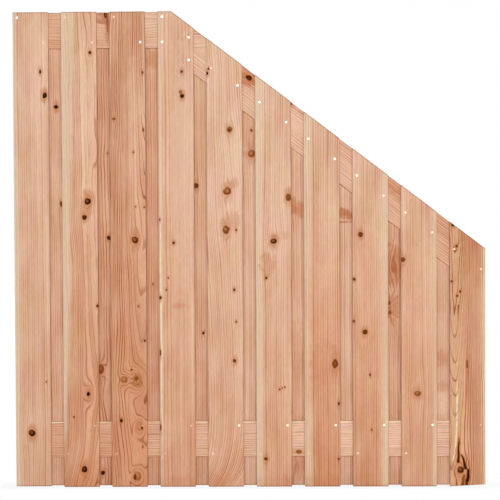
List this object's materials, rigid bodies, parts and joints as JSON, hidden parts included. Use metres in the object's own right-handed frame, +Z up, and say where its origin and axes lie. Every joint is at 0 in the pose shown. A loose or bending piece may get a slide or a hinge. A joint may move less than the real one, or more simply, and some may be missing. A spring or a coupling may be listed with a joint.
{
  "type": "wooden fence panel",
  "caption": "Sloped-top wooden fence panel: upright boards staggered on both sides of flat rails, level along the high end and falling to a low end.",
  "frame": {"origin": "on the ground, in the middle of the panel's length and thickness", "axes": "+X along the panel to its low end, +Y from the front to the back, +Z up"},
  "size_m": [1.781, 0.048, 1.8],
  "materials": {
    "front_boards": "planed, untreated",
    "back_boards": "planed, untreated",
    "rails": "planed, untreated",
    "screws": "bright stainless"
  },
  "bodies": {
    "root": {"front_board_1": "front_boards", "front_board_2": "front_boards", "front_board_3": "front_boards", "front_board_4": "front_boards", "front_board_5": "front_boards", "front_board_6": "front_boards", "front_board_7": "front_boards", "front_board_8": "front_boards", "front_board_9": "front_boards", "front_board_10": "front_boards", "back_board_1": "back_boards", "back_board_2": "back_boards", "back_board_3": "back_boards", "back_board_4": "back_boards", "back_board_5": "back_boards", "back_board_6": "back_boards", "back_board_7": "back_boards", "back_board_8": "back_boards", "back_board_9": "back_boards", "bottom_rail": "rails", "top_rail": "rails", "sloping_rail": "rails", "front_screws": "screws", "back_screws": "screws"}
  },
  "joints": []
}
